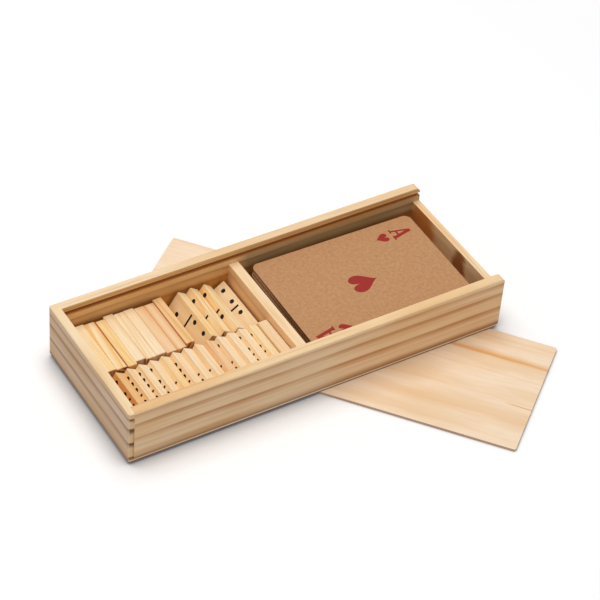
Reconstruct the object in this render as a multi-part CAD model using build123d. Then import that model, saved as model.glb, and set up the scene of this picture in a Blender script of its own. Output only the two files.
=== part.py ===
"""Games compendium box: a pine box with a sliding lid, a set of 28 dominoes standing in two rows and a
deck of playing cards.

Millimetres, +Z up. The lid is off and lies crosswise on the table, and the box stands on it. The model's
origin is the middle of the whole set's footprint, on the table.
"""
from build123d import *
from math import cos, radians, sin, tan
import os

os.makedirs("parts", exist_ok=True)

# Box: its length and width follow from what lies in it
box_height = 30.0  # base panel included
side_thickness = 4.7  # front and back walls
closed_end_thickness = 4.4
open_end_thickness = 3.6
base_thickness = 1.5

# Sanded edges of the box
corner_radius = 1.5  # upright corners
rim_radius = 0.7  # long top edges, outside
open_end_top_radius = 3.0  # tips of the long walls at the open end
open_end_foot_radius = 4.0
closed_end_foot_radius = 1.5
closed_end_top_radius = 0.6

# Corners: the long walls are let into a rebate in the closed end wall, and hold the low wall between them
corner_lap = 2.9  # wood of the closed end wall left outside each long wall's end
low_wall_top = 22.1  # the open end's wall and the divider stop here, so that the lid clears them
divider_thickness = 5.0

# Lid and its groove
lid_thickness = 1.4
lid_corner_radius = 1.0
groove_height = 2.0
groove_depth = 1.8  # in the long walls
end_groove_depth = 1.5  # in the closed end wall
lip_height = 2.8  # wood left above the groove
lid_side_clearance = 0.3
lid_end_clearance = 0.3
lid_setback = 0.2  # how far the shut lid stops short of the open end

# Where the loose lid lies, from the middle of the box
lid_turn = -50.4  # degrees about Z
lid_offset_x = 25.4
lid_offset_y = -13.1
lid_rest_gap = 0.05  # between the lid and the base panel above it

# Dominoes
tile_length = 33.3
tile_width = 16.0
tile_thickness = 5.05
tile_edge = 0.25  # all edges are bevelled by this much
tile_gap = 0.05  # between neighbours in the standing row
seat_gap = 0.05  # under every tile
front_row_start_gap = 0.6  # between the left end wall and the front row
back_row_start_gap = 0.1  # between the left end wall and the back row
back_row_end_gap = 0.1  # at least, between the standing and the slipped tiles
row_front_gap = 0.05  # between the front wall and the front row
row_spacing = 1.27  # between the two rows
row_back_gap = 2.28  # between the back row and the back wall

# Pips and centre bar, pressed into one face of each tile
pip_diameter = 2.1
pip_depth = 0.35
pip_sides = 12  # each pip is pressed with a blunt many-sided point
pip_edge_distance = 3.1  # centre of the outer pips from the tile's long edge
bar_length = 12.5
bar_width = 0.9
bar_depth = 0.25

# Playing cards
card_length = 88.0
card_width = 63.0
card_corner_radius = 3.5
card_thickness = 0.35
card_count = 54  # the ace that lies on top is one of them
packet_size = 6  # the cards under it lie in packets of this many
packet_play = 0.3  # how far a packet can lie off centre
deck_side_gap = 4.3  # from the divider
deck_end_gap = 7.0  # from the open end's wall, for a fingertip
deck_front_gap = 2.8  # from the front wall
deck_back_gap = 4.4  # from the back wall
deck_turn = -1.0  # degrees about Z

# The standing back row, left to right: (half by the back wall, half by the front wall), jog to the back
back_row = [((0, 3), 0.2), ((0, 5), 0.75), ((0, 6), 0.1), ((1, 2), -0.5), ((1, 5), 1.1),
            ((1, 6), 0.2), ((2, 4), 0.4), ((3, 5), -0.5), ((3, 6), -0.6), ((4, 4), 1.1)]

# The leaning rows, left to right: halves, lean in degrees from upright with the top towards the open
# end, gap to what the tile leans on, jog. Each leans on the one after it, the last on the divider.
front_row = [((5, 5), 29.5, 0.07, 0.0),
             ((6, 5), 29.4, 0.07, 0.0),
             ((6, 4), 29.3, 0.07, 0.0),
             ((5, 4), 29.2, 0.07, 0.0),
             ((0, 0), 29.1, 0.07, 0.0),
             ((6, 6), 29.0, 0.07, 0.0),
             ((1, 3), 28.3, 0.07, 0.0),
             ((0, 1), 27.6, 0.07, 0.0),
             ((1, 1), 27.0, 0.07, 0.0),
             ((3, 3), 26.7, 0.07, 0.0),
             ((2, 6), 26.4, 0.07, 0.0),
             ((4, 3), 26.1, 0.07, 0.0),
             ((4, 0), 25.8, 0.07, 0.0),
             ((2, 2), 0.0, 0.3, 0.0)]

# Four tiles of the back row have slipped down against the divider
slipped_tiles = [((1, 4), 32.5, 0.12, 0.4),
                 ((2, 0), 34.5, 0.4, 0.7),
                 ((3, 2), 35.5, 0.12, 0.0),
                 ((5, 2), 56.0, 0.8, 0.6)]

turned_tiles = [(2, 6), (2, 2)]  # these show their plain backs

# How far the marks sit off centre, along the tile
print_shift = {(1, 4): 1.1, (2, 0): -2.8, (3, 2): -0.6, (5, 2): -0.5, (6, 6): -1.9, (4, 0): -0.6}


def leaning_feet(tiles):
    """Lower right edges of a leaning row, from the divider's left face, worked out towards the left."""
    feet = []
    for index in reversed(range(len(tiles))):
        lean = radians(tiles[index][1])
        gap = tiles[index][2]
        foot = -gap - tile_width * sin(lean)
        if feet:
            next_lean = radians(tiles[index + 1][1])
            corner_x = feet[0] - tile_thickness * cos(next_lean)
            corner_z = tile_thickness * sin(next_lean)
            top_z = tile_width * cos(lean)
            face_x = corner_x + (top_z - corner_z) * tan(next_lean)
            foot_by_top = face_x - gap / cos(next_lean) - tile_width * sin(lean)
            foot_by_corner = corner_x - gap / cos(lean) - corner_z * tan(lean)
            foot = min(foot_by_top, foot_by_corner)
        feet.insert(0, foot)
    return feet


def leaning_length(tiles):
    """From the first tile's lower left edge to the divider."""
    return tile_thickness * cos(radians(tiles[0][1])) - leaning_feet(tiles)[0]


# Worked out from the sizes above
back_row_length = len(back_row) * (tile_thickness + tile_gap) + leaning_length(slipped_tiles)
domino_bay_length = max(front_row_start_gap + leaning_length(front_row),
                        back_row_start_gap + back_row_length + back_row_end_gap)
card_bay_length = deck_side_gap + card_length + deck_end_gap
inner_width = max(row_front_gap + 2 * tile_length + row_spacing + row_back_gap,
                  deck_front_gap + card_width + deck_back_gap)
divider_left = closed_end_thickness + domino_bay_length
divider_right = divider_left + divider_thickness
box_length = divider_right + card_bay_length + open_end_thickness
box_width = inner_width + 2 * side_thickness
groove_top = box_height - lip_height
groove_bottom = groove_top - groove_height
lid_length = box_length - closed_end_thickness + end_groove_depth - lid_end_clearance - lid_setback
lid_width = inner_width + 2 * groove_depth - 2 * lid_side_clearance
lid_centre_x = box_length / 2 + lid_offset_x
lid_centre_y = box_width / 2 + lid_offset_y
turn = radians(lid_turn)
half_lid_length = lid_length / 2 - lid_corner_radius
half_lid_width = lid_width / 2 - lid_corner_radius
lid_reach_x = half_lid_length * abs(cos(turn)) + half_lid_width * abs(sin(turn)) + lid_corner_radius
lid_reach_y = half_lid_length * abs(sin(turn)) + half_lid_width * abs(cos(turn)) + lid_corner_radius
left_most = min(0, lid_centre_x - lid_reach_x)
right_most = max(box_length, lid_centre_x + lid_reach_x)
front_most = min(0, lid_centre_y - lid_reach_y)
back_most = max(box_width, lid_centre_y + lid_reach_y)
table_depth = lid_thickness + lid_rest_gap  # table below the underside of the base panel
to_frame = Pos(-(left_most + right_most) / 2, -(front_most + back_most) / 2, table_depth)


def slab(x0, x1, y0, y1, z0, z1):
    """A plain board between two corners."""
    return Pos(x0, y0, z0) * Box(x1 - x0, y1 - y0, z1 - z0, align=(Align.MIN, Align.MIN, Align.MIN))


def write(name, shape):
    placed = to_frame * shape
    placed.label = name
    export_step(placed, f"parts/{name}.step")


def sanded_block():
    """The whole box's outer form, rounded where the assembled box is sanded."""
    side_view = Plane.XZ * Pos(box_length / 2, box_height / 2) * Rectangle(box_length, box_height)
    for radius, at_right, at_top in ((open_end_top_radius, True, True),
                                     (open_end_foot_radius, True, False),
                                     (closed_end_foot_radius, False, False),
                                     (closed_end_top_radius, False, True)):
        corner = side_view.vertices().filter_by(
            lambda v: (abs(v.X - (box_length if at_right else 0)) < 0.01)
            and (abs(v.Z - (box_height if at_top else 0)) < 0.01))
        side_view = fillet(corner, radius)
    plan = Pos(box_length / 2, box_width / 2) * RectangleRounded(box_length, box_width, corner_radius)
    end_view = Plane.YZ * Pos(box_width / 2, box_height / 2) * Rectangle(box_width, box_height)
    end_view = fillet(end_view.vertices().group_by(Axis.Z)[-1], rim_radius)
    return (extrude(side_view, -box_width) & extrude(plan, box_height)) & extrude(end_view, box_length)


def lid_slot():
    """The space that the lid slides in, open at the right."""
    return slab(closed_end_thickness - end_groove_depth, box_length + 1,
                side_thickness - groove_depth, box_width - side_thickness + groove_depth,
                groove_bottom, groove_top)


def box_parts():
    """The case, cut from one sanded block. Every wall stands on the base panel."""
    block = sanded_block()
    slot = lid_slot()
    back_y = box_width - side_thickness
    right_x = box_length - open_end_thickness
    front = block & slab(corner_lap, box_length, 0, side_thickness, base_thickness, box_height)
    back = block & slab(corner_lap, box_length, back_y, box_width, base_thickness, box_height)
    closed_end = block & slab(0, closed_end_thickness, 0, box_width, base_thickness, box_height)
    write("front_wall", front - slot)
    write("back_wall", back - slot)
    write("left_end_wall", closed_end - front - back - slot)
    low_end = slab(right_x, box_length, side_thickness, back_y, base_thickness, low_wall_top)
    write("right_end_wall", block & low_end)
    write("base_panel", block & slab(0, box_length, 0, box_width, 0, base_thickness))
    write("divider", slab(divider_left, divider_right, side_thickness, back_y, base_thickness, low_wall_top))


def lid():
    plate = extrude(RectangleRounded(lid_length, lid_width, lid_corner_radius), lid_thickness)
    return Pos(lid_centre_x, lid_centre_y, -table_depth) * Rot(0, 0, lid_turn) * plate


def pip_places(value):
    """Pip centres of one half, as (column along the tile, row across it), each -1, 0 or 1."""
    corners = [(1, 1), (-1, -1)] if value > 1 else []
    if value > 3:
        corners += [(1, -1), (-1, 1)]
    middle = [(0, 0)] if value % 2 else []
    sides = [(0, 1), (0, -1)] if value == 6 else []
    return corners + middle + sides


def tile(halves):
    """A domino on its long edge, its lower right edge on the Y axis, its marks on the left face."""
    body = slab(-tile_thickness, 0, 0, tile_length, 0, tile_width)
    body = chamfer(body.edges(), tile_edge)
    column = tile_length / 8
    row = tile_width / 2 - pip_edge_distance
    middle = tile_length / 2 + print_shift.get(halves, 0)
    rim = RegularPolygon(pip_diameter / 2, pip_sides).face()
    dimple = Rot(0, 90, 0) * loft([rim, Vertex(0, 0, pip_depth)])
    for half_centre, value in ((middle + tile_length / 4, halves[0]), (middle - tile_length / 4, halves[1])):
        for across, up in pip_places(value):
            body -= Pos(-tile_thickness, half_centre + across * column, tile_width / 2 + up * row) * dimple
    bar_low = (tile_width - bar_length) / 2
    body -= slab(-tile_thickness, bar_depth - tile_thickness, middle - bar_width / 2,
                 middle + bar_width / 2, bar_low, bar_low + bar_length)
    if halves in turned_tiles:
        body = Pos(-tile_thickness, tile_length, 0) * Rot(0, 0, 180) * body
    return body


def stand(halves, foot_x, near_y, lean_angle):
    """Write a tile whose lower right edge stands at foot_x, leaning towards the open end."""
    name = f"domino_{min(halves)}_{max(halves)}"
    write(name, Pos(foot_x, near_y, base_thickness + seat_gap) * Rot(0, lean_angle, 0) * tile(halves))


def back_row_feet():
    first = closed_end_thickness + back_row_start_gap + tile_thickness
    return [first + i * (tile_thickness + tile_gap) for i in range(len(back_row))]


def dominoes():
    front_y = side_thickness + row_front_gap
    back_y = front_y + tile_length + row_spacing
    for (halves, jog), foot in zip(back_row, back_row_feet()):
        stand(halves, foot, back_y + jog, 0)
    for row, row_y in ((front_row, front_y), (slipped_tiles, back_y)):
        for (halves, lean_angle, _, jog), foot in zip(row, leaning_feet(row)):
            stand(halves, divider_left + foot, row_y + jog, lean_angle)


def cards(height):
    return extrude(RectangleRounded(card_length, card_width, card_corner_radius), height)


def deck():
    """The cards under the ace as one block of packets, each lying a little askew, and the ace."""
    centre_x = divider_right + deck_side_gap + card_length / 2
    centre_y = side_thickness + deck_front_gap + card_width / 2
    under_ace = card_count - 1
    packets = []
    for first in range(0, under_ace, packet_size):
        height = min(packet_size, under_ace - first) * card_thickness
        shift_x = packet_play * sin(2.4 * first)
        shift_y = packet_play * cos(1.7 * first)
        packets.append(Pos(centre_x + shift_x, centre_y + shift_y, base_thickness + first * card_thickness)
                       * Rot(0, 0, deck_turn) * cards(height))
    write("card_deck", packets[0] + packets[1:])
    top = base_thickness + under_ace * card_thickness
    write("ace_of_hearts", Pos(centre_x, centre_y, top) * Rot(0, 0, deck_turn) * cards(card_thickness))


box_parts()
write("sliding_lid", lid())
dominoes()
deck()
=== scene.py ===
# Looks of the games compendium box: pine box, ply lid, dominoes and kraft playing cards.
import bpy
import math
import numpy as np
from mathutils import Matrix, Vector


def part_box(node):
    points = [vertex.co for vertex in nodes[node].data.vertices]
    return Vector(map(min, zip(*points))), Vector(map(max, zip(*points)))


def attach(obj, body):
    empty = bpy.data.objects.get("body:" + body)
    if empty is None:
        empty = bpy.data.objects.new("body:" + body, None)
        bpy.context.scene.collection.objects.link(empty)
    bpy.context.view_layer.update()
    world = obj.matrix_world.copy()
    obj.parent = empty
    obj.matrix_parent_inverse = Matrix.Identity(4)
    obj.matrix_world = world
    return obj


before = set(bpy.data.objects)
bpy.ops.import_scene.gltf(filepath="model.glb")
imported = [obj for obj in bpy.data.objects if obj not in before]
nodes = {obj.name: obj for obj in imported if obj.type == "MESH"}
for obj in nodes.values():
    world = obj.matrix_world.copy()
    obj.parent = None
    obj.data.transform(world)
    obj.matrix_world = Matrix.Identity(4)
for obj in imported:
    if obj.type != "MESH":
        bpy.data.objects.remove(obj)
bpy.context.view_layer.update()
mm = 0.001
print("frame loaded,", len(nodes), "nodes")


# one socket of a finish, so that shader maths reads as Python expressions
class Wire:
    def __init__(self, finish, socket):
        self.finish = finish
        self.socket = socket

    def calc(self, operation, *others, clamp=False):
        return self.finish.maths(operation, self, *others, clamp=clamp)

    def __add__(self, other):
        return self.calc("ADD", other)

    def __sub__(self, other):
        return self.calc("SUBTRACT", other)

    def __rsub__(self, other):
        return self.finish.maths("SUBTRACT", other, self)

    def __mul__(self, other):
        return self.calc("MULTIPLY", other)

    def __truediv__(self, other):
        return self.calc("DIVIDE", other)

    def __rtruediv__(self, other):
        return self.finish.maths("DIVIDE", other, self)

    def __pow__(self, other):
        return self.calc("POWER", other)

    def __rpow__(self, other):
        return self.finish.maths("POWER", other, self)

    def __abs__(self):
        return self.calc("ABSOLUTE")

    __radd__ = __add__
    __rmul__ = __mul__


# the nodes of a material, or of the world, while it is put together
class Finish:
    def __init__(self, owner):
        self.owner = owner
        owner.use_nodes = True
        self.tree = owner.node_tree
        self.tree.nodes.clear()

    # a node with its settings and its socket values or links; gives back the output asked for
    def make(self, kind, settings=None, sockets=None, output=0):
        node = self.tree.nodes.new(kind)
        for key, value in (settings or {}).items():
            if key == "stops":
                self.setStops(node.color_ramp, value)
            else:
                setattr(node, key, value)
        for key, value in (sockets or {}).items():
            if isinstance(value, Wire):
                self.tree.links.new(value.socket, node.inputs[key])
            else:
                node.inputs[key].default_value = value
        return Wire(self, node.outputs[output]) if len(node.outputs) else None

    # grey stops of a colour ramp, each (position, brightness)
    def setStops(self, ramp, stops):
        while len(ramp.elements) > 1:
            ramp.elements.remove(ramp.elements[-1])
        for index, (position, value) in enumerate(stops):
            element = ramp.elements[0] if index == 0 else ramp.elements.new(position)
            element.position = position
            element.color = (value, value, value, 1)

    def maths(self, operation, *values, clamp=False):
        settings = {"operation": operation, "use_clamp": clamp}
        return self.make("ShaderNodeMath", settings, dict(enumerate(values)))

    def vectorMaths(self, operation, a, b, output=0):
        return self.make("ShaderNodeVectorMath", {"operation": operation}, {0: a, 1: b}, output)

    # place on the piece, measured from its own middle and along its own axes
    def place(self, middle=(0, 0, 0), turn=(0, 0, 0)):
        coords = self.make("ShaderNodeTexCoord", output="Object")
        angles = [math.radians(a) for a in turn]
        return self.make("ShaderNodeMapping", {"vector_type": "TEXTURE"},
                         {"Vector": coords, "Location": middle, "Rotation": angles})

    def stretch(self, vector, scale):
        return self.vectorMaths("MULTIPLY", vector, scale)

    def axes(self, vector):
        return [self.make("ShaderNodeSeparateXYZ", None, {0: vector}, index) for index in range(3)]

    def noise(self, vector, scale, detail=2.0, roughness=0.5):
        return self.make("ShaderNodeTexNoise", {"noise_dimensions": "3D"},
                         {"Vector": vector, "Scale": scale, "Detail": detail, "Roughness": roughness})

    # 0 at low, 1 at high, with soft ends; low may be the larger one
    def smooth(self, value, low, high):
        return self.make("ShaderNodeMapRange", {"interpolation_type": "SMOOTHSTEP"},
                         {"Value": value, "From Min": low, "From Max": high})

    # the same for a distance, from start to end in mm
    def fade(self, distance, start, end):
        return self.smooth(distance, start * mm, end * mm)

    def ramp(self, value, stops):
        return self.make("ShaderNodeValToRGB", {"stops": stops}, {"Fac": value})

    # colour a where factor is 0, colour b where it is 1
    def mix(self, factor, a, b, blend="MIX"):
        a, b = [colour if isinstance(colour, Wire) else (*colour, 1) for colour in (a, b)]
        settings = {"data_type": "RGBA", "blend_type": blend}
        return self.make("ShaderNodeMix", settings, {0: factor, 6: a, 7: b}, 2)

    def bump(self, height, distance, strength=1.0):
        return self.make("ShaderNodeBump", None,
                         {"Height": height, "Distance": distance * mm, "Strength": strength})

    def surface(self, sockets):
        shader = self.make("ShaderNodeBsdfPrincipled", None, sockets)
        self.make("ShaderNodeOutputMaterial", None, {"Surface": shader})
        return self.owner


def newFinish(name):
    return Finish(bpy.data.materials.new(name))


# display colour 0..255 as the linear colour that shader sockets take
def tone(red, green, blue):
    values = np.array([red, green, blue]) / 255
    linear = np.where(values <= 0.04045, values / 12.92, ((values + 0.055) / 1.055) ** 2.4)
    return tuple(linear.tolist())


camera = {
    "azimuth": -0.594743, "elevation": 0.737855, "roll": 0.087965,  # radians
    "place": (-449.018, -655.285, 755.509),  # mm
    "lens": 139.44, "sensor": 36.0,  # mm
    "near": 0.01, "far": 50.0,  # metres
}
# watts and metres, and the strength of the world
light = {"panelWatts": 8.7, "panelSize": 0.9, "panelPlace": (-0.1, 0.12, 1.15), "world": 0.565}
floorLook = {
    "half": 6.0, "colour": 0.8,
    # the glow grows to white with the distance, in metres
    "glow": 0.05, "whiteFrom": 0.3, "whiteTo": 1.0,
    # contact shadow, its reach in metres
    "shade": (0.52, 0.5, 0.51), "shadeReach": 0.012, "shut": 0.2, "open": 0.95, "samples": 8,
}


def addObject(name, data):
    item = bpy.data.objects.new(name, data)
    bpy.context.scene.collection.objects.link(item)
    return item


# camera or lamp: its x, y and z axes and its place in metres
def stand(item, axes, place):
    matrix = Matrix(np.column_stack(axes).tolist()).to_4x4()
    matrix.translation = place
    item.matrix_world = matrix


def addCamera():
    az, el, roll = camera["azimuth"], camera["elevation"], camera["roll"]
    back = np.array([math.sin(az) * math.cos(el), -math.cos(az) * math.cos(el), math.sin(el)])
    right = np.array([math.cos(az), math.sin(az), 0.0])
    up = np.cross(back, right)
    rolledRight = math.cos(roll) * right + math.sin(roll) * up
    rolledUp = math.cos(roll) * up - math.sin(roll) * right
    data = bpy.data.cameras.new("camera")
    data.lens = camera["lens"]
    data.sensor_width = camera["sensor"]
    data.clip_start = camera["near"]
    data.clip_end = camera["far"]
    item = addObject("camera", data)
    stand(item, [rolledRight, rolledUp, back], [v * mm for v in camera["place"]])
    bpy.context.scene.camera = item


# a square lamp above the object that looks down at its middle
def addPanel():
    data = bpy.data.lights.new("panel", "AREA")
    data.shape = "SQUARE"
    data.size = light["panelSize"]
    data.energy = light["panelWatts"]
    away = np.array(light["panelPlace"])
    away = away / np.linalg.norm(away)
    side = np.cross((0.0, 1.0, 0.001), away)
    side = side / np.linalg.norm(side)
    stand(addObject("panel", data), [side, np.cross(away, side), away], light["panelPlace"])


# soft light on the object, and a bright room where the camera or a gloss sees it
def addWorld():
    world = bpy.data.worlds.new("studio")
    bpy.context.scene.world = world
    room = Finish(world)
    soft = room.make("ShaderNodeBackground", None, {"Strength": light["world"]})
    bright = room.make("ShaderNodeBackground")
    seen = room.make("ShaderNodeLightPath", output="Is Camera Ray")
    mirrored = room.make("ShaderNodeLightPath", output="Is Glossy Ray")
    either = room.maths("MAXIMUM", seen, mirrored)
    both = room.make("ShaderNodeMixShader", None, {0: either, 1: soft, 2: bright})
    room.make("ShaderNodeOutputWorld", None, {"Surface": both})


def addFloor():
    half = floorLook["half"]
    data = bpy.data.meshes.new("floor")
    corners = [(-half, -half, 0), (half, -half, 0), (half, half, 0), (-half, half, 0)]
    data.from_pydata(corners, [], [(0, 1, 2, 3)])
    item = addObject("floor", data)
    finish = newFinish("floorPaper")
    seen = finish.make("ShaderNodeLightPath", output="Is Camera Ray")
    # close to the object the floor sees less of the room: the contact shadow
    openness = finish.make("ShaderNodeAmbientOcclusion", {"samples": floorLook["samples"]},
                           {"Distance": floorLook["shadeReach"]}, "AO")
    openness = finish.smooth(openness, floorLook["shut"], floorLook["open"])
    white = finish.mix(openness, floorLook["shade"], (1.0, 1.0, 1.0))
    paper = finish.mix(seen, (floorLook["colour"],) * 3, white)
    sheet = finish.make("ShaderNodeBsdfDiffuse", None, {"Color": paper})
    aside, back = finish.axes(finish.place())[:2]
    far = finish.smooth((aside ** 2 + back ** 2) ** 0.5, floorLook["whiteFrom"], floorLook["whiteTo"])
    lift = finish.make("ShaderNodeEmission", None, {"Color": seen * (far + floorLook["glow"])})
    sheet = finish.make("ShaderNodeAddShader", None, {0: sheet, 1: lift})
    finish.make("ShaderNodeOutputMaterial", None, {"Surface": sheet})
    data.materials.append(finish.owner)


addCamera()
addWorld()
addPanel()
addFloor()
bpy.context.scene.view_settings.view_transform = "Standard"
print("camera, light and floor ready")


# What all wooden pieces share. A noise is (stretch per metre, detail, roughness), and a span is where a
# noise or a facing starts to show and where it shows in full.
woodLook = {
    "slow": ((25, 12, 25), 1.0, 0.5), "wobble": ((250, 45, 250), 1.0, 0.5),  # waves of the ring lines
    "patch": ((60, 20, 60), 1.0, 0.5), "patchSpan": (0.3, 0.6), "patchSwing": 0.45, "patchLeast": 0.55,
    "cloud": ((90, 16, 90), 2.0, 0.5), "cloudSpan": (0.35, 0.68),
    "streak": ((420, 9, 420), 2.0, 0.55), "streakSpan": (0.52, 0.8),
    "fibre": ((1900, 90, 1900), 2.0, 0.6), "fibreSpan": (0.3, 0.75),
    "pores": ((1800, 1800, 1800), 2.0, 0.6),
    "facingSpan": (0.6, 0.95), "endRings": 1.8,  # ring lines are this much stronger on end grain
    "seedSteps": (1.0, 1.7, 0.6), "sideEdge": 0.3, "crackStart": 6,  # mm
    "specular": 0.3, "roughness": 0.5, "roughFibre": 0.15,
    "bumpDepth": 0.03, "bumpStrength": 0.6, "bumpFibre": 0.7, "bumpRings": 0.3,
}

# a board's own values where its dictionary gives no others: drift of the ring lines along the grain, their
# waves and the reach of their ramp in mm, and strengths
plainBoard = {"drift": 0.0, "wave": 2.5, "wobble": 0.7, "reach": 20.0,
              "ringStrength": 1.0, "streaks": 0.4, "fibre": 0.2}

# marks on a board, several of them painted shade: colour and strength, colour factors, and edges in mm
woodMarks = {
    "lowShade": (0.85, 0.62, 0.32), "bayAlong": (3, -2), "bayEdge": (0.2, -0.4),
    "knotFace": (-1, 0, 0), "knotCore": 0.45, "knotWobble": 0.8,
    "groove": (tone(192, 120, 16), 0.8), "grooveLow": (-0.8, -0.3), "grooveHigh": (0.15, -0.05),
    "tileGapShade": (tone(170, 88, 30), 0.85), "tileGapShadeRise": (-2.5, -1.2),
    "foot": (tone(86, 50, 14), 0.85), "footEdge": 0.15,
    "seam": (tone(128, 84, 46), 0.75),
}


# Finish of one board. Its local axes are x through the board, y along the grain, z across it.
class Wood(Finish):
    def __init__(self, name, board):
        super().__init__(bpy.data.materials.new(name))
        self.board = {**plainBoard, **board}
        local = self.place(board["middle"], board["turn"])
        self.through, self.along, self.across = self.axes(local)
        shift = [board["seed"] * step for step in woodLook["seedSteps"]]
        self.shifted = self.vectorMaths("ADD", local, shift)
        self.normal = self.make("ShaderNodeTexCoord", output="Normal")

    # one of the shared noises, stretched along the grain
    def grain(self, kind):
        scale, detail, roughness = woodLook[kind]
        return self.noise(self.stretch(self.shifted, scale), 1.0, detail, roughness)

    # how far the surface faces the given way, 0 to 1
    def facing(self, way):
        straight = self.vectorMaths("DOT_PRODUCT", self.normal, way, "Value")
        return self.smooth(straight, *woodLook["facingSpan"])

    # 1 in the half of the board on side 1 or -1 of its middle plane
    def onSide(self, side):
        return self.fade(self.through * side, -woodLook["sideEdge"], woodLook["sideEdge"])

    # the wood turns to another colour where the mask is 1
    def paint(self, mask, colour):
        self.colour = self.mix(mask, self.colour, colour)

    # the wood's colour is multiplied by a factor where the mask is 1
    def tint(self, mask, factor):
        self.paint(mask, self.mix(1.0, self.colour, factor, "MULTIPLY"))

    # Ring lines: q = z cos(tilt) + x sin(tilt) + drift y + slow waves along the grain, and a ramp over q
    # darkens it slowly towards each line and drops back sharply behind it.
    def addRings(self):
        board = self.board
        slow = self.grain("slow") - 0.5
        self.wobble = self.grain("wobble") - 0.5
        tilt = math.radians(board["tilt"])
        q = self.across * math.cos(tilt) + self.through * math.sin(tilt) + self.along * board["drift"]
        self.q = q + slow * (board["wave"] * mm) + self.wobble * (board["wobble"] * mm)
        span = 2 * board["reach"] * mm
        rings = self.ramp(self.q / span + 0.5, ringStops(board["lines"], board["reach"]))
        patchy = self.smooth(self.grain("patch"), *woodLook["patchSpan"])
        self.rings = rings * (patchy * woodLook["patchSwing"] + woodLook["patchLeast"])
        if "ringsFrom" in board:
            self.rings = self.rings * self.fade(self.along, *board["ringsFrom"])

    def paintGrain(self):
        board = self.board
        self.fibre = self.grain("fibre")
        streak = self.smooth(self.grain("streak"), *woodLook["streakSpan"])
        cloud = self.smooth(self.grain("cloud"), *woodLook["cloudSpan"])
        self.colour = self.mix(cloud, board["pale"], board["warm"])
        self.paint(self.rings * board["ringStrength"], board["late"])
        self.paint(streak * board["streaks"], board["late"])
        self.paint(self.smooth(self.fibre, *woodLook["fibreSpan"]) * board["fibre"], board["dark"])

    # both ends, where the grain is cut across
    def paintEndGrain(self):
        board = self.board
        broad = self.rings.calc("MULTIPLY", woodLook["endRings"], clamp=True)
        porous = self.mix(self.grain("pores"), board["end"], board["warm"])
        endColour = self.mix(broad, porous, board["endDark"])
        way = board["grain"]
        self.paint(self.facing(way) + self.facing(tuple(-v for v in way)), endColour)

    def finished(self):
        height = self.fibre * woodLook["bumpFibre"] + self.rings * woodLook["bumpRings"]
        return self.surface({
            "Base Color": self.colour,
            "Roughness": self.fibre * woodLook["roughFibre"] + woodLook["roughness"],
            "Specular IOR Level": woodLook["specular"],
            "Normal": self.bump(height, woodLook["bumpDepth"], woodLook["bumpStrength"]),
        })


# where a ring line's shade is half and full, as shares of its fade, where it ends above the line in mm, and
# the least and the extra distance of two stops on the ramp
ringShape = {"half": 0.45, "full": 0.12, "above": 0.25, "least": 0.001, "extra": 0.003}


# ramp stops for ring lines, each (place in mm, strength, fade in mm, fade above): strength rises over the
# fade below the place and falls away sharply above it, unless a fade above is given
def ringStops(lines, reach):
    least = ringShape["least"]
    stops = [(0.0, 0.0)]
    for place, strength, fade, *above in lines:
        at = place / (2 * reach) + 0.5
        reachBack = fade / (2 * reach)
        reachOn = (above[0] if above else ringShape["above"]) / (2 * reach)
        start = max(at - reachBack, stops[-1][0] + least)
        stops += [(start, 0.0),
                  (max(at - reachBack * ringShape["half"], start + least), strength * 0.5),
                  (max(at - reachBack * ringShape["full"], start + 2 * least), strength),
                  (at + reachOn + ringShape["extra"], 0.0)]
    return stops + [(1.0, 0.0)]


# cracks: place over the ring lines, start along the board and width in mm, strength
def paintCracks(wood, cracks):
    for place, start, width, strength in cracks:
        near = 1 - wood.fade(abs(wood.q - place * mm), 0.0, width)
        reached = wood.fade(wood.along, start, start + woodLook["crackStart"])
        wood.paint(near * reached * strength, wood.board["crackTone"])


# painted light and shade: each face's colour is multiplied by a factor for the way it faces, as light falls
# and bounces on it: facing, colour factor
def paintFaceShades(wood, faceShades):
    for way, factor in faceShades:
        wood.tint(wood.facing(way), factor)


# one face changes colour along the board: facing, start and end along the board in mm, colour factor
def paintEnds(wood, ends):
    for way, start, end, factor in ends:
        wood.tint(wood.fade(wood.along, start, end) * wood.facing(way), factor)


# painted shade: an inner face is darker and more orange towards the bottom, where less light reaches it:
# side it is on, start and end height in mm
def paintLowShade(wood, lowShade):
    side, top, low = lowShade
    wood.tint(wood.fade(wood.across, top, low) * wood.onSide(side), woodMarks["lowShade"])


# darker and greyer beyond the divider, below the groove: side, height in mm, colour factor
def paintBay(wood, bay):
    side, top, factor = bay
    reached = wood.fade(wood.across, *[top + edge for edge in woodMarks["bayEdge"]])
    reached = reached * wood.fade(wood.along, *woodMarks["bayAlong"])
    wood.tint(reached * wood.onSide(side), factor)


# knots or resin spots: distance = sqrt(((y - y0) / length)^2 + ((z - z0) / height)^2) + a slight wobble
def paintKnots(wood, knots):
    for along, across, halfLength, halfHeight, strength, colour in knots:
        far = ((wood.along - along * mm) / (halfLength * mm)) ** 2
        far = far + ((wood.across - across * mm) / (halfHeight * mm)) ** 2
        far = far ** 0.5 + wood.wobble * woodMarks["knotWobble"]
        inner = (1 - wood.smooth(far, woodMarks["knotCore"], 1.0)) * wood.facing(woodMarks["knotFace"])
        wood.paint(inner * strength, colour)


# painted shade: inside the groove the wood is darker and more orange, as the groove shades it: side it is
# cut in, lower and upper edge in mm
def paintGrooveShade(wood, groove):
    side, low, high = groove
    colour, strength = woodMarks["groove"]
    inside = wood.fade(wood.across, *[low + edge for edge in woodMarks["grooveLow"]])
    inside = inside * wood.fade(wood.across, *[high + edge for edge in woodMarks["grooveHigh"]])
    wood.paint(inside * wood.onSide(side) * strength, colour)


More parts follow.
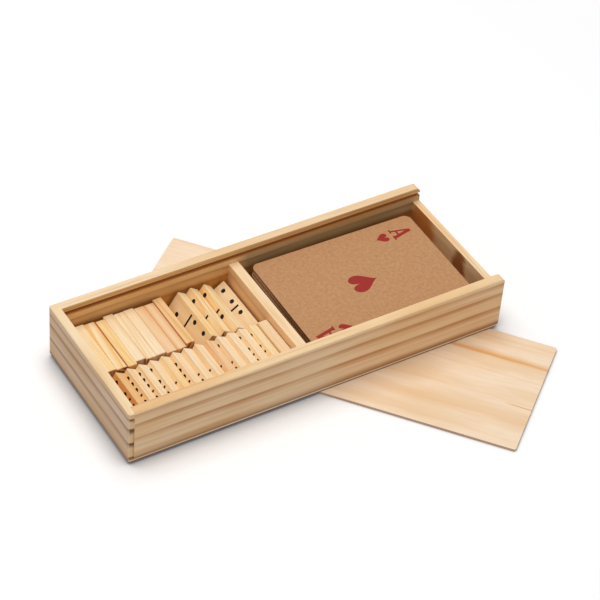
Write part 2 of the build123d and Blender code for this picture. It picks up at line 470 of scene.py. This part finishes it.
# painted shade of the narrow gap beside the next tile, along one long top edge: side, half thickness, width
# and top in mm
def paintTileGapShade(wood, tileGapShade):
    side, half, width, top = tileGapShade
    colour, strength = woodMarks["tileGapShade"]
    reached = wood.fade(wood.through * side, half - width, half - width * 0.5)
    reached = reached * wood.fade(wood.across, *[top + edge for edge in woodMarks["tileGapShadeRise"]])
    wood.paint(reached * strength, colour)


# painted shade along the lower edge of the base, for the shadow under the box: its height in mm
def paintFootShade(wood, foot):
    colour, strength = woodMarks["foot"]
    wood.paint(wood.fade(wood.across, foot + woodMarks["footEdge"], foot) * strength, colour)


# the wall is darker just above the base panel, along the joint: its height and how far up it darkens, in mm
def paintSeam(wood, seam):
    low, rise = seam
    colour, strength = woodMarks["seam"]
    wood.paint(wood.fade(wood.across, low + rise, low) * strength, colour)


# what a board's dictionary may ask for, painted in this order
markPainters = {
    "cracks": paintCracks, "faceShades": paintFaceShades, "ends": paintEnds, "lowShade": paintLowShade, "bay": paintBay,
    "knots": paintKnots, "groove": paintGrooveShade, "tileGapShade": paintTileGapShade, "foot": paintFootShade, "seam": paintSeam,
}


def woodFinish(name, board):
    wood = Wood(name, board)
    wood.addRings()
    wood.paintGrain()
    wood.paintEndGrain()
    for mark, painter in markPainters.items():
        if mark in board:
            painter(wood, board[mark])
    return wood.finished()


pineTones = {
    "pale": tone(246, 218, 174), "warm": tone(240, 204, 152), "late": tone(196, 142, 84),
    "dark": tone(208, 166, 114), "end": tone(216, 174, 136), "endDark": tone(120, 80, 56),
}
plyTones = {
    "pale": tone(246, 221, 190), "warm": tone(240, 208, 169), "late": tone(218, 148, 76),
    "dark": tone(228, 192, 150), "end": tone(150, 116, 84), "endDark": tone(120, 86, 56),
}

# Boards of the case. Turn brings local y onto the grain. Ring lines are (mm from the board's middle,
# strength, fade below, fade above if it isn't sharp), their tilt is in degrees, and the marks are as their
# painters say.
boards = {
    "front_wall": {
        "turn": (0, 0, 90), "grain": (1, 0, 0), "seed": 1.3, "tilt": 8, "drift": -0.007, "wave": 1.5,
        "late": tone(190, 124, 60),
        "lines": [(-11.7, 0.55, 3.8, 1.6), (-7.0, 0.25, 2.0), (-2.0, 0.95, 5.0), (2.6, 0.2, 1.6),
                  (6.4, 0.9, 5.0), (12.2, 0.85, 3.6)],
        "faceShades": [((0, 1, 0), (0.95, 0.8, 0.6)), ((0, -1, 0), (1.0, 0.95, 0.97)),
                  ((0, 0, 1), (0.97, 0.92, 0.88))],
        "ends": [((0, 0, 1), 30, 85, (0.94, 0.84, 0.72))],
        "lowShade": (1, 5.0, -3.0), "groove": (1, 9.45, 11.45), "seam": (-14.25, 2.8),
    },
    "back_wall": {
        "turn": (0, 0, 90), "grain": (1, 0, 0), "seed": 4.1, "tilt": 20, "drift": 0.004,
        "pale": tone(247, 221, 184),
        "lines": [(-9.0, 0.7, 3.0), (0.0, 0.8, 3.0), (5.0, 0.9, 3.0), (11.5, 0.6, 2.0)],
        "faceShades": [((0, -1, 0), (0.93, 0.83, 0.63))],
        "ends": [((0, 0, 1), 45, 25, (0.95, 0.9, 0.85)), ((0, 0, 1), -25, -60, (1.03, 1.08, 1.2))],
        "lowShade": (-1, 5.0, -1.0), "bay": (-1, 9.0, (0.7, 0.74, 0.82)), "groove": (-1, 9.45, 11.45),
    },
    "left_end_wall": {
        "turn": (0, 0, 0), "grain": (0, 1, 0), "seed": 7.7, "tilt": 4, "drift": 0.004,
        "pale": tone(247, 221, 182), "late": tone(186, 128, 76),
        "lines": [(-12.6, 0.8, 2.0), (-3.8, 1.0, 3.4), (5.0, 1.0, 4.0), (10.9, 0.85, 1.8)],
        "faceShades": [((-1, 0, 0), (0.8, 0.78, 0.88)), ((1, 0, 0), (0.95, 0.8, 0.6))],
        "lowShade": (1, 5.0, -1.0), "groove": (1, 9.45, 11.45), "seam": (-14.25, 1.4),
    },
    "right_end_wall": {
        "turn": (0, 0, 0), "grain": (0, 1, 0), "seed": 9.2, "tilt": 35,
        "pale": tone(248, 222, 182), "warm": tone(243, 208, 160), "late": tone(226, 168, 104),
        "lines": [(-4.0, 0.5, 4.0), (3.5, 0.4, 3.0), (8.4, 0.6, 0.8)],
        "faceShades": [((-1, 0, 0), (1.0, 0.93, 0.84))],
        "ends": [((-1, 0, 0), -8, -34, (0.8, 0.76, 0.68))],
        "knots": [(-7.0, 0, 7, 16, 0.9, tone(158, 82, 14)), (25, 2, 14, 16, 0.85, tone(206, 116, 18))],
        "seam": (-10.3, 1.4),
    },
    "divider": {
        "turn": (0, 0, 0), "grain": (0, 1, 0), "seed": 12.4, "tilt": 30,
        "pale": tone(251, 221, 178), "warm": tone(247, 208, 158),
        "lines": [(-5.0, 0.6, 4.0), (4.0, 0.6, 3.0)],
        "faceShades": [((-1, 0, 0), (1.0, 0.95, 0.88))],
        "lowShade": (-1, 2.0, -6.0),
    },
}

base = {
    "turn": (0, 0, 90), "grain": (1, 0, 0), "seed": 15.0, "tilt": 80, "reach": 40.0,
    "lines": [(4.0, 0.5, 3.0)],
    "faceShades": [((1, 0, 0), (0.66, 0.6, 0.54)), ((-1, 0, 0), (0.66, 0.6, 0.54)),
              ((0, 1, 0), (0.66, 0.6, 0.54)), ((0, -1, 0), (0.95, 0.9, 0.92))],
    "foot": -0.2,
}

lidAngle = math.radians(-50.4)  # how the lid lies on the table
alongLid = (math.cos(lidAngle), math.sin(lidAngle), 0)
acrossLid = (-alongLid[1], alongLid[0], 0)
beforeLid = (alongLid[1], -alongLid[0], 0)
lid = {
    "turn": (0, 0, math.degrees(lidAngle) - 90), "grain": alongLid, "seed": 18.0, "tilt": 90, "reach": 40.0,
    "pale": tone(250, 226, 198), "late": tone(226, 152, 66), "ringStrength": 1.15,
    "lines": [(-19.6, 1.0, 4.0, 0.8), (8.0, 0.14, 2.0, 0.8), (21.0, 0.2, 6.0, 2.5)], "ringsFrom": (0, 45),
    "wave": 5.0, "wobble": 1.6, "streaks": 0.2, "fibre": 0.3,
    "cracks": [(9.5, 85, 0.5, 0.8)], "crackTone": tone(196, 136, 82),
    "faceShades": [(acrossLid, (0.6, 0.53, 0.5)), (beforeLid, (0.6, 0.53, 0.5))],
}


def middleOf(node):
    low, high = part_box(node)
    return tuple((low + high) / 2)


def dress(node, material):
    slots = nodes[node].data.materials
    slots.clear()
    slots.append(material)


def dressWood(node, name, tones, board):
    dress(node, woodFinish(name, {**tones, **board, "middle": middleOf(node)}))


for boardNode, caseBoard in boards.items():
    dressWood(boardNode, "pine_" + boardNode, pineTones, caseBoard)
dressWood("base_panel", "ply_base", plyTones, base)
dressWood("sliding_lid", "ply_lid", plyTones, lid)
print("case and lid finished")


# lengths in mm; each tile is (its halves, lean in degrees, wood)
dominoes = {
    "length": 33.3, "width": 16.0, "thickness": 5.05,
    "pipRadius": 1.2, "pipRim": 0.1, "hollow": 0.97, "pipCentre": 0.02, "pipEdge": 3.1, "pipDepth": 0.3,
    "pipSegments": 20,
    "barLength": 12.5, "barWidth": 1.15, "barFlat": 0.7, "barDepth": 0.2,
    "lift": 0.012,  # paint above the wood
    "front": [((5, 5), 29.5, "golden"), ((6, 5), 29.4, "pale"), ((6, 4), 29.3, "pale"),
              ((5, 4), 29.2, "pale"), ((0, 0), 29.1, "yellow"), ((6, 6), 29.0, "pale"),
              ((1, 3), 28.3, "pale"), ((0, 1), 27.6, "pale"), ((1, 1), 27.0, "pink"),
              ((3, 3), 26.7, "pale"), ((2, 6), 26.4, "cream"), ((4, 3), 26.1, "cream"),
              ((4, 0), 25.8, "yellow"), ((2, 2), 0.0, "tan")],
    "back": [((0, 3), 0.0, "yellow"), ((0, 5), 0.0, "yellow"), ((0, 6), 0.0, "yellow"),
             ((1, 2), 0.0, "honey"), ((1, 5), 0.0, "pale"), ((1, 6), 0.0, "pale"),
             ((2, 4), 0.0, "pale"), ((3, 5), 0.0, "pink"), ((3, 6), 0.0, "pink"),
             ((4, 4), 0.0, "golden")],
    "slipped": [((1, 4), 32.5, "yellow"), ((2, 0), 34.5, "yellow"), ((3, 2), 35.5, "yellow"),
                ((5, 2), 56.0, "pale")],
    "turned": [(2, 6), (2, 2)],  # their faces look away from the leaning side
    # the marks of these tiles lie this far along the tile
    "shift": {(1, 4): 1.1, (2, 0): -2.8, (3, 2): -0.6, (5, 2): -0.5, (6, 6): -1.9, (4, 0): -0.6},
    "tileGapShaded": [(1, 2), (4, 4)], "tileGapShadeWidth": 0.8,  # top edges with painted shade of the gap beside them
    # painted shade on the faces with the pips, stronger and more orange on the tiles listed here
    "dark": [(5, 5)], "darkFace": (0.98, 0.75, 0.5), "face": (1.0, 0.93, 0.82),
}

# ring lines of the tiles: how many, how far out and how much each may stray, in mm
tileRings = {
    "count": 7, "out": 8.5, "stray": 0.8, "weakest": 0.2, "fade": 1.8, "tilt": (30, 150), "drift": 0.12,
    "firstSeed": 20, "seedStep": 1.37, "frontStrength": 0.45, "backStrength": 0.9,
}

tileTones = {
    "pale": {"pale": tone(253, 234, 201), "warm": tone(250, 223, 182), "late": tone(242, 194, 124)},
    "cream": {"pale": tone(254, 240, 211), "warm": tone(253, 230, 195), "late": tone(244, 200, 132)},
    "tan": {"pale": tone(244, 222, 188), "warm": tone(240, 210, 170), "late": tone(232, 186, 124)},
    "yellow": {"pale": tone(254, 233, 192), "warm": tone(252, 222, 165), "late": tone(241, 180, 78)},
    "honey": {"pale": tone(253, 221, 160), "warm": tone(249, 209, 142), "late": tone(236, 174, 80)},
    "golden": {"pale": tone(246, 208, 154), "warm": tone(241, 196, 134), "late": tone(222, 158, 84)},
    "pink": {"pale": tone(246, 211, 168), "warm": tone(241, 198, 148), "late": tone(230, 164, 104)},
}
tileWood = {
    "dark": tone(228, 184, 128), "end": tone(224, 154, 84), "endDark": tone(160, 84, 30),
    "grain": (0, 1, 0), "reach": 12.0, "wave": 4.0, "fibre": 0.3, "streaks": 0.5,
}


# pip places of one half as (column along the tile, row across it)
def pipPlaces(value):
    corners = [(1, 1), (-1, -1)] if value > 1 else []
    if value > 3:
        corners += [(1, -1), (-1, 1)]
    middle = [(0, 0)] if value % 2 else []
    sides = [(0, 1), (0, -1)] if value == 6 else []
    return corners + middle + sides


def addMesh(name, points, faces, material, body):
    data = bpy.data.meshes.new(name)
    data.from_pydata(points.tolist(), [], faces)
    data.materials.append(material)
    data.update()
    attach(addObject(name, data), body)


# quads of a grid with the given rows and columns, closed round the columns if asked
def gridFaces(rows, columns, closed=False, first=0, flip=False):
    last = columns if closed else columns - 1
    faces = [(first + r * columns + c, first + r * columns + (c + 1) % columns,
              first + (r + 1) * columns + (c + 1) % columns, first + (r + 1) * columns + c)
             for r in range(rows - 1) for c in range(last)]
    return [face[::-1] for face in faces] if flip else faces


# painted pips of one tile, at the given places along and across it, in its own axes, face towards -x:
# y = cy + r cos(a), z = cz + r sin(a), x = -lift + depth max(0, 1 - r / hollow)
def pipShapes(pips):
    d = dominoes
    hollow = d["hollow"]
    radii = [d["pipRadius"], hollow + d["pipRim"], hollow, hollow * 0.66, hollow * 0.33, d["pipCentre"]]
    rings, segments = len(radii), d["pipSegments"]
    centres = np.array(pips)[:, None, None, :]
    angle = np.linspace(0, 2 * np.pi, segments, endpoint=False)[None, None, :]
    radius = np.array(radii)[None, :, None]
    y = centres[..., 0] + radius * np.cos(angle)
    z = centres[..., 1] + radius * np.sin(angle)
    x = np.broadcast_to(-d["lift"] + d["pipDepth"] * np.maximum(0, 1 - radius / hollow), y.shape)
    faces = []
    for first in range(0, len(pips) * rings * segments, rings * segments):
        faces += gridFaces(rings, segments, True, first, True)
        faces.append(tuple(first + (rings - 1) * segments + np.arange(segments)[::-1]))
    return np.stack([x, y, z], -1).reshape(-1, 3), faces


# painted bar of one tile, a shallow trough: x = -lift + depth max(0, flat - |y|), with y from -1 to 1
# across the bar
def barShape(shift, first):
    d = dominoes
    flat = d["barFlat"]
    across = np.array([-1, -flat, 0, flat, 1])[:, None]
    along = np.linspace(-0.5, 0.5, 3)[None, :]
    x, y, z = np.broadcast_arrays(-d["lift"] + d["barDepth"] * np.maximum(0, flat - np.abs(across)),
                                  shift + across * d["barWidth"] / 2, along * d["barLength"])
    return np.stack([x, y, z], -1).reshape(-1, 3), gridFaces(*x.shape, False, first, True)


def tileMarks(halves):
    d = dominoes
    shift = d["shift"].get(halves, 0.0)
    quarter, rowStep = d["length"] / 4, d["width"] / 2 - d["pipEdge"]
    pips = [(sign * quarter + shift + column * quarter / 2, row * rowStep)
            for sign, value in ((1, halves[0]), (-1, halves[1])) for column, row in pipPlaces(value)]
    points, faces = pipShapes(pips) if pips else (np.zeros((0, 3)), [])
    barPoints, barFaces = barShape(shift, len(points))
    points = np.concatenate([points, barPoints])
    points[:, 0] -= d["thickness"] / 2
    if halves in d["turned"]:
        points[:, :2] *= -1
    return points, faces + barFaces


markPaint = {
    "dark": tone(14, 11, 10), "pale": tone(30, 24, 20), "mottle": 2500.0,
    "roughness": 0.5, "roughMottle": 0.2, "specular": 0.25, "bumpDepth": 0.02,  # mm
}


def paintFinish():
    finish = newFinish("blackPaint")
    mottle = finish.noise(finish.place(), markPaint["mottle"])
    return finish.surface({
        "Base Color": finish.mix(mottle, markPaint["dark"], markPaint["pale"]),
        "Roughness": mottle * markPaint["roughMottle"] + markPaint["roughness"],
        "Specular IOR Level": markPaint["specular"],
        "Normal": finish.bump(mottle, markPaint["bumpDepth"]),
    })


# the wood of one tile, its ring lines at random places
def tileBoard(index, halves, lean, woodName):
    rings = tileRings
    count, stray = rings["count"], rings["stray"]
    rng = np.random.default_rng(100 + index)
    places = (np.linspace(-rings["out"], rings["out"], count) + rng.uniform(-stray, stray, count)).tolist()
    strengths = rng.uniform(rings["weakest"], 1.0, count).tolist()
    board = {**tileTones[woodName], "turn": (0, lean, 0)}
    board["seed"] = rings["firstSeed"] + rings["seedStep"] * index
    board["lines"] = [(place, strength, rings["fade"]) for place, strength in zip(places, strengths)]
    board["tilt"] = float(rng.uniform(*rings["tilt"]))
    board["drift"] = float(rng.uniform(-rings["drift"], rings["drift"]))
    inFront = index < len(dominoes["front"])
    board["ringStrength"] = rings["frontStrength"] if inFront else rings["backStrength"]
    if halves in dominoes["tileGapShaded"]:
        board["tileGapShade"] = (-1, dominoes["thickness"] / 2, dominoes["tileGapShadeWidth"], dominoes["width"] / 2)
    angle = math.radians(lean)
    # painted shade on the face with the pips
    factor = dominoes["darkFace"] if halves in dominoes["dark"] else dominoes["face"]
    board["faceShades"] = [((-math.cos(angle), 0, math.sin(angle)), factor)]
    return board


def addDominoes():
    paint = paintFinish()
    tiles = dominoes["front"] + dominoes["back"] + dominoes["slipped"]
    for index, (halves, lean, woodName) in enumerate(tiles):
        values = "%d_%d" % (min(halves), max(halves))
        node = "domino_" + values
        dressWood(node, "tile_" + node, tileWood, tileBoard(index, halves, lean, woodName))
        points, faces = tileMarks(halves)
        c, s = math.cos(math.radians(lean)), math.sin(math.radians(lean))
        turn = np.array([[c, 0, s], [0, 1, 0], [-s, 0, c]])
        points = points @ turn.T * mm + np.array(middleOf(node))
        addMesh("marks_" + values, points, faces, paint, node + "_tile")
    print("dominoes finished:", len(tiles))


addDominoes()


# fine flecks of the card edges and of the ink: scale, detail, roughness of the noise
paperFleck = (1500.0, 3.0, 0.65)

# lengths in mm, places from the print's middle
card = {
    "turn": -1.0,  # degrees
    "kraftDark": tone(183, 134, 92), "kraftPale": tone(197, 149, 107),
    "fleck": (600.0, 4.0, 0.8), "fleckSpan": (0.35, 0.65),
    "hair": (400, 1500, 400), "hairSpan": (0.55, 0.7), "hairStrength": 0.2,
    "roughness": 0.85, "specular": 0.2, "bumpDepth": 0.02, "bumpStrength": 0.5,
    "ink": tone(158, 43, 35), "inkDark": tone(140, 35, 29), "inkSpan": (0.45, 0.75), "inkStrength": 0.5,
    "inkRoughness": 0.7, "inkSpecular": 0.25,
    "lift": 0.015, "step": 0.003,  # print above the card, and one stroke above another
    "heart": (14.3, 11.9), "indexHeart": (6.7, 6.0), "letter": (10.6, 7.6),
    "printMiddle": (-0.6, -2.1),  # the print lies a little off the card's middle
    "letterPlace": (34.6, 23.6), "indexHeartPlace": (23.8, 23.5),
}
deck = {
    "cardThickness": 0.35, "paleEdge": tone(206, 164, 124), "darkEdge": tone(170, 126, 88),
    "layerStep": 0.37,  # gives each layer a number of its own
    # painted shade in the gap between one card and the next
    "gap": tone(96, 66, 42), "gapStrength": 0.6, "gapSpan": (0.75, 1.0), "fleckStrength": 0.4,
    "roughness": 0.9, "specular": 0.15, "bumpDepth": 0.06,
    # the short side at the divider is darker towards the front wall
    "shade": tone(104, 60, 20), "shadeStrength": 0.65, "shadeSide": (-43, -43.5), "shadeSpan": (20, -5),
}


def kraftFinish():
    finish = newFinish("kraftCard")
    local = finish.place(middleOf("ace_of_hearts"))
    fleck = finish.noise(local, *card["fleck"])
    hair = finish.smooth(finish.noise(finish.stretch(local, card["hair"]), 1.0), *card["hairSpan"])
    colour = finish.mix(finish.smooth(fleck, *card["fleckSpan"]), card["kraftDark"], card["kraftPale"])
    colour = finish.mix(hair * card["hairStrength"], colour, card["kraftPale"])
    return finish.surface({
        "Base Color": colour, "Roughness": card["roughness"], "Specular IOR Level": card["specular"],
        "Normal": finish.bump(fleck, card["bumpDepth"], card["bumpStrength"]),
    })


# edges of the stacked cards: a new layer every card's thickness, some layers darker, painted shade between
# cards
def deckFinish():
    finish = newFinish("cardEdges")
    local = finish.place(middleOf("card_deck"))
    side, front, height = finish.axes(local)
    layer = height / (deck["cardThickness"] * mm)
    gap = finish.smooth(layer.calc("FRACT"), *deck["gapSpan"])
    which = layer.calc("FLOOR") * deck["layerStep"]
    pale = finish.make("ShaderNodeTexWhiteNoise", {"noise_dimensions": "1D"}, {"W": which})
    colour = finish.mix(pale, deck["darkEdge"], deck["paleEdge"])
    fleck = finish.noise(local, *paperFleck)
    colour = finish.mix(fleck * deck["fleckStrength"], colour, card["kraftDark"])
    colour = finish.mix(gap * deck["gapStrength"], colour, deck["gap"])
    shaded = finish.fade(side, *deck["shadeSide"]) * finish.fade(front, *deck["shadeSpan"])
    colour = finish.mix(shaded * deck["shadeStrength"], colour, deck["shade"])
    return finish.surface({
        "Base Color": colour, "Roughness": deck["roughness"], "Specular IOR Level": deck["specular"],
        "Normal": finish.bump(1 - gap, deck["bumpDepth"]),
    })


def inkFinish():
    finish = newFinish("redInk")
    fleck = finish.noise(finish.place(middleOf("ace_of_hearts")), *paperFleck)
    worn = finish.smooth(fleck, *card["inkSpan"]) * card["inkStrength"]
    return finish.surface({
        "Base Color": finish.mix(worn, card["ink"], card["inkDark"]),
        "Roughness": card["inkRoughness"], "Specular IOR Level": card["inkSpecular"],
    })


# filled heart, tip towards +x: outline x = -(13 cos t - 5 cos 2t - 2 cos 3t - cos 4t)
# + 3.5 exp(-(t / 0.4)^2), y = 16 sin^3 t, with t from -pi to pi, in rings that shrink towards its middle
def heart(length, width):
    segments, rings = 64, 8
    t = np.linspace(-np.pi, np.pi, segments, endpoint=False)
    x = -(13 * np.cos(t) - 5 * np.cos(2 * t) - 2 * np.cos(3 * t) - np.cos(4 * t))
    x = x + 3.5 * np.exp(-(t / 0.4) ** 2)
    y = 16 * np.sin(t) ** 3
    x = (x - (x.max() + x.min()) / 2) / (x.max() - x.min()) * length
    y = y / (y.max() - y.min()) * width
    scale = np.linspace(1, 0.02, rings)[:, None]
    points = np.stack([x * scale, y * scale], -1).reshape(-1, 2)
    faces = gridFaces(rings, segments, True)
    faces.append(tuple((rings - 1) * segments + np.arange(segments)))
    return points, faces


# a straight stroke as a quad: along runs from a to b, width across it
def stroke(a, b, width):
    a, b = np.array(a, float), np.array(b, float)
    side = np.array([-(b - a)[1], (b - a)[0]])
    side = side / np.linalg.norm(side) * width / 2
    return np.array([a - side, b - side, b + side, a + side]), [(0, 1, 2, 3)]


# serif letter A on a unit square, apex towards +x: a thin and a thick leg, a bar and two feet
def letterA():
    return [stroke((0.03, 0.33), (0.98, 0.04), 0.13), stroke((0.03, -0.31), (0.98, 0.0), 0.24),
            stroke((0.32, 0.2), (0.32, -0.2), 0.1),
            stroke((0.04, 0.16), (0.04, 0.5), 0.08), stroke((0.04, -0.12), (0.04, -0.5), 0.08)]


# one flat piece of print on the card's face, points in mm from the print's middle; step keeps strokes that
# cross at different heights
def addPrint(name, points, faces, ink, step=0):
    middle = np.array(middleOf("ace_of_hearts"))
    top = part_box("ace_of_hearts")[1].z
    c, s = math.cos(math.radians(card["turn"])), math.sin(math.radians(card["turn"]))
    turn = np.array([[c, -s], [s, c]])
    flat = (points + np.array(card["printMiddle"])) @ turn.T * mm + middle[:2]
    height = np.full((len(flat), 1), top + (card["lift"] + card["step"] * step) * mm)
    addMesh(name, np.hstack([flat, height]), faces, ink, "top_card")


def addCards():
    dress("ace_of_hearts", kraftFinish())
    dress("card_deck", deckFinish())
    ink = inkFinish()
    points, faces = heart(*card["heart"])
    addPrint("heart", points, faces, ink)
    for side, tag in ((1, "far"), (-1, "near")):
        points, faces = heart(*card["indexHeart"])
        # the index heart's tip points to the card's middle
        points = (points * (-1, 1) + card["indexHeartPlace"]) * side
        addPrint("index_heart_" + tag, points, [face[::-1] for face in faces], ink)
        for number, (shape, quads) in enumerate(letterA()):
            shape = (shape - (0.5, 0)) * card["letter"] + card["letterPlace"]
            addPrint("letter_%s_%d" % (tag, number), shape * side, quads, ink, number)
    print("cards finished")


addCards()
